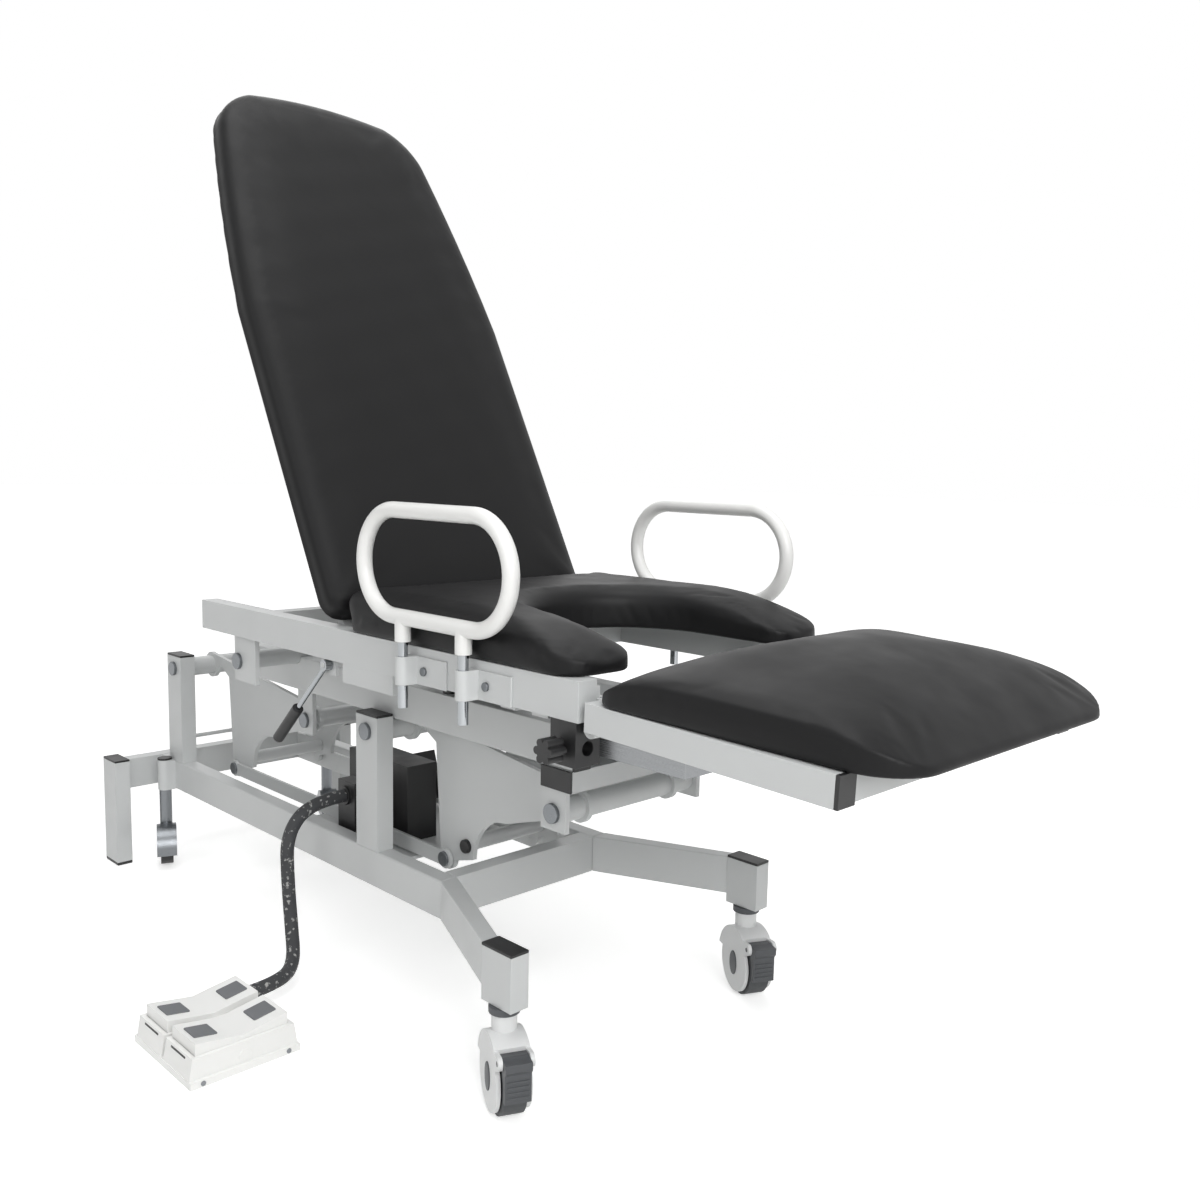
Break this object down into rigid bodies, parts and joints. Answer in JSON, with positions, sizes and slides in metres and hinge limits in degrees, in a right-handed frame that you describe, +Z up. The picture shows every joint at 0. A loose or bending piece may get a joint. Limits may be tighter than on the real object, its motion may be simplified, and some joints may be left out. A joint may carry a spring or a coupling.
{
  "type": "gynecological_examination_table",
  "caption": "Height-adjustable gynecological examination table with reclining backrest, cut-out seat, folding foot section, loop handles, slide-out tray and foot switch.",
  "frame": {"origin": "On the floor in the middle plane, midway between the rear feet and the front castor posts.", "axes": "+X towards the foot end, +Y towards the patient's left side, +Z up."},
  "size_m": [1.8174, 0.8296, 1.4852],
  "materials": {
    "frame_paint": "semi-gloss light grey powder coat",
    "black_plastic": "matte moulded black plastic",
    "steel": "zinc-plated steel",
    "chrome": "polished chrome plating",
    "stainless": "brushed stainless steel",
    "castor_grey": "satin grey moulded plastic",
    "castor_tread": "matte grey elastic tread",
    "white_plastic": "smooth white plastic",
    "vinyl": "fine-grained charcoal upholstery vinyl",
    "hose_sleeve": "dark braided sleeve with pale flecks"
  },
  "bodies": {
    "base": {"base_rails": "frame_paint", "base_rear_frame": "frame_paint", "base_front_frame": "frame_paint", "base_uprights": "frame_paint", "base_end_caps": "black_plastic", "base_pivot_bolts": "steel", "control_box": "black_plastic", "footswitch_base": "white_plastic", "hose": "hose_sleeve"},
    "front_arm": {"front_arm_plates": "frame_paint", "front_arm_tubes": "frame_paint"},
    "rear_arm": {"rear_arm_plates": "frame_paint", "rear_arm_tubes": "frame_paint"},
    "tie": {"tie_bars": "frame_paint"},
    "lift_frame": {"lift_rails": "frame_paint", "lift_cross_frame": "frame_paint", "lift_tilt_tube": "frame_paint", "lift_end_caps": "black_plastic", "lift_pivot_bolts": "steel"},
    "actuator_housing": {"actuator_body": "black_plastic"},
    "actuator_shaft": {"actuator_rod": "chrome"},
    "seat_frame": {"seat_rails": "frame_paint", "seat_cross_frame": "frame_paint", "seat_brackets": "frame_paint", "seat_fasteners": "steel", "loop_clamps": "frame_paint", "leg_holder_clamps": "black_plastic", "tray_runners": "frame_paint", "seat_cushion": "vinyl"},
    "tilt_spring_barrel": {"tilt_spring_cylinder": "steel"},
    "tilt_spring_shaft": {"tilt_spring_rod": "chrome"},
    "backrest": {"backrest_frame": "frame_paint", "backrest_cushion": "vinyl"},
    "back_spring_barrel": {"back_spring_cylinder": "steel"},
    "back_spring_shaft": {"back_spring_rod": "chrome"},
    "foot_section": {"foot_frame": "frame_paint", "foot_end_caps": "black_plastic", "foot_cushion": "vinyl"},
    "tray_body": {"tray": "stainless"},
    "lever": {"release_lever": "chrome", "release_lever_grip": "black_plastic"},
    "rocker_1": {"footswitch_rocker_1": "white_plastic"},
    "rocker_2": {"footswitch_rocker_2": "white_plastic"},
    "castor_front_right_fork": {"castor_front_right": "castor_grey"},
    "castor_front_right_roller": {"castor_front_wheel_right": "castor_tread"},
    "castor_front_right_brake": {"castor_front_pedal_right": "black_plastic"},
    "castor_rear_right_fork": {"castor_rear_right": "black_plastic"},
    "castor_rear_right_roller": {"castor_rear_wheel_right": "black_plastic"},
    "loop_right": {"loop_handle_right": "white_plastic", "loop_rods_right": "chrome"},
    "knob_right": {"clamp_knob_right": "black_plastic"},
    "castor_front_left_fork": {"castor_front_left": "castor_grey"},
    "castor_front_left_roller": {"castor_front_wheel_left": "castor_tread"},
    "castor_front_left_brake": {"castor_front_pedal_left": "black_plastic"},
    "castor_rear_left_fork": {"castor_rear_left": "black_plastic"},
    "castor_rear_left_roller": {"castor_rear_wheel_left": "black_plastic"},
    "loop_left": {"loop_handle_left": "white_plastic", "loop_rods_left": "chrome"},
    "knob_left": {"clamp_knob_left": "black_plastic"}
  },
  "joints": [
    {"name": "castor_front_right_swivel", "type": "hinge", "parent": "base", "child": "castor_front_right_fork", "pos_m": [0.616, -0.251, 0.14], "axis": [0, 0, 1], "continuous": true},
    {"name": "castor_front_right_roll", "type": "hinge", "parent": "castor_front_right_fork", "child": "castor_front_right_roller", "pos_m": [0.62506, -0.25523, 0.05], "axis": [0.4226, 0.9063, 0], "continuous": true},
    {"name": "castor_front_right_pedal", "type": "hinge", "parent": "castor_front_right_fork", "child": "castor_front_right_brake", "pos_m": [0.66675, -0.27467, 0.09], "axis": [-0.4226, -0.9063, 0], "range_deg": [0, 12]},
    {"name": "castor_rear_right_swivel", "type": "hinge", "parent": "base", "child": "castor_rear_right_fork", "pos_m": [-0.55, -0.188, 0.154], "axis": [0, 0, 1], "continuous": true},
    {"name": "castor_rear_right_roll", "type": "hinge", "parent": "castor_rear_right_fork", "child": "castor_rear_right_roller", "pos_m": [-0.53343, -0.19503, 0.0405], "axis": [0.3907, 0.9205, 0], "continuous": true},
    {"name": "loop_right_height", "type": "slide", "parent": "seat_frame", "child": "loop_right", "axis": [0, 0, 1], "range_m": [0, 0.045]},
    {"name": "knob_right_turn", "type": "hinge", "parent": "seat_frame", "child": "knob_right", "pos_m": [0.722, -0.274, 0.5], "axis": [0, 1, 0], "continuous": true},
    {"name": "castor_front_left_swivel", "type": "hinge", "parent": "base", "child": "castor_front_left_fork", "pos_m": [0.616, 0.251, 0.14], "axis": [0, 0, 1], "continuous": true},
    {"name": "castor_front_left_roll", "type": "hinge", "parent": "castor_front_left_fork", "child": "castor_front_left_roller", "pos_m": [0.62491, 0.24646, 0.05], "axis": [0.454, 0.891, 0], "continuous": true},
    {"name": "castor_front_left_pedal", "type": "hinge", "parent": "castor_front_left_fork", "child": "castor_front_left_brake", "pos_m": [0.6659, 0.22558, 0.09], "axis": [-0.454, -0.891, 0], "range_deg": [0, 12]},
    {"name": "castor_rear_left_swivel", "type": "hinge", "parent": "base", "child": "castor_rear_left_fork", "pos_m": [-0.55, 0.188, 0.154], "axis": [0, 0, 1], "continuous": true},
    {"name": "castor_rear_left_roll", "type": "hinge", "parent": "castor_rear_left_fork", "child": "castor_rear_left_roller", "pos_m": [-0.53343, 0.18097, 0.0405], "axis": [0.3907, 0.9205, 0], "continuous": true},
    {"name": "loop_left_height", "type": "slide", "parent": "seat_frame", "child": "loop_left", "axis": [0, 0, 1], "range_m": [0, 0.045]},
    {"name": "knob_left_turn", "type": "hinge", "parent": "seat_frame", "child": "knob_left", "pos_m": [0.722, 0.274, 0.5], "axis": [0, 1, 0], "continuous": true},
    {"name": "lift", "type": "hinge", "parent": "base", "child": "front_arm", "pos_m": [0.173, 0, 0.406], "axis": [0, -1, 0], "range_deg": [0, 45]},
    {"name": "lift_rear", "type": "hinge", "parent": "base", "child": "rear_arm", "pos_m": [-0.532, 0, 0.406], "axis": [0, -1, 0], "range_deg": [0, 46]},
    {"name": "lift_level", "type": "hinge", "parent": "front_arm", "child": "lift_frame", "pos_m": [0.58, 0, 0.362], "axis": [0, -1, 0], "range_deg": [-46, 0]},
    {"name": "lift_tie", "type": "hinge", "parent": "front_arm", "child": "tie", "pos_m": [0.282, 0, 0.208], "axis": [0, -1, 0], "range_deg": [-46, 0]},
    {"name": "actuator_swing", "type": "hinge", "parent": "base", "child": "actuator_housing", "pos_m": [-0.061, 0.03, 0.215], "axis": [0, -1, 0], "range_deg": [0, 12]},
    {"name": "actuator_stroke", "type": "slide", "parent": "actuator_housing", "child": "actuator_shaft", "axis": [0.9528, 0, 0.3035], "range_m": [0, 0.08]},
    {"name": "seat_tilt", "type": "hinge", "parent": "lift_frame", "child": "seat_frame", "pos_m": [-0.104, 0, 0.489], "axis": [0, -1, 0], "range_deg": [0, 15]},
    {"name": "tilt_spring_swing", "type": "hinge", "parent": "lift_frame", "child": "tilt_spring_barrel", "pos_m": [0.06, 0, 0.44], "axis": [0, -1, 0], "range_deg": [0, 25]},
    {"name": "tilt_spring_stroke", "type": "slide", "parent": "tilt_spring_barrel", "child": "tilt_spring_shaft", "axis": [0.9626, 0, 0.271], "range_m": [0, 0.06]},
    {"name": "backrest_recline", "type": "hinge", "parent": "seat_frame", "child": "backrest", "pos_m": [0.184, 0, 0.572], "axis": [0, -1, 0], "range_deg": [0, 61.8]},
    {"name": "back_spring_swing", "type": "hinge", "parent": "seat_frame", "child": "back_spring_barrel", "pos_m": [0.185, 0, 0.545], "axis": [0, -1, 0], "range_deg": [0, 62]},
    {"name": "back_spring_stroke", "type": "slide", "parent": "back_spring_barrel", "child": "back_spring_shaft", "axis": [-0.4557, 0, 0.8901], "range_m": [-0.03, 0]},
    {"name": "foot_fold", "type": "hinge", "parent": "seat_frame", "child": "foot_section", "pos_m": [0.758, 0, 0.526], "axis": [0, 1, 0], "range_deg": [-2, 78]},
    {"name": "tray_slide", "type": "slide", "parent": "seat_frame", "child": "tray_body", "axis": [1, 0, 0], "range_m": [-0.15, 0]},
    {"name": "release_lever_pull", "type": "hinge", "parent": "seat_frame", "child": "lever", "pos_m": [0.19, -0.253, 0.524], "axis": [0, 1, 0], "range_deg": [0, 12], "stiffness_Nm_per_rad": 1.5, "springref_deg": -20.05},
    {"name": "rocker_1_tip", "type": "hinge", "parent": "base", "child": "rocker_1", "pos_m": [0.1815, -0.455, 0.033], "axis": [1, 0, 0], "range_deg": [-5, 5], "stiffness_Nm_per_rad": 4},
    {"name": "rocker_2_tip", "type": "hinge", "parent": "base", "child": "rocker_2", "pos_m": [0.2665, -0.455, 0.033], "axis": [1, 0, 0], "range_deg": [-5, 5], "stiffness_Nm_per_rad": 4}
  ],
  "couplings": [
    {"joint": "lift_rear", "follows": "lift", "ratio": 1},
    {"joint": "lift_level", "follows": "lift", "ratio": -1},
    {"joint": "lift_tie", "follows": "lift", "ratio": -1},
    {"joint": "actuator_swing", "follows": "lift", "ratio": 0.20124},
    {"joint": "actuator_stroke", "follows": "lift", "m_per_rad": 0.095061},
    {"joint": "tilt_spring_swing", "follows": "seat_tilt", "ratio": 1.4455},
    {"joint": "tilt_spring_stroke", "follows": "seat_tilt", "m_per_rad": 0.11107},
    {"joint": "back_spring_swing", "follows": "backrest_recline", "ratio": 0.90814},
    {"joint": "back_spring_stroke", "follows": "backrest_recline", "m_per_rad": -0.018851}
  ]
}
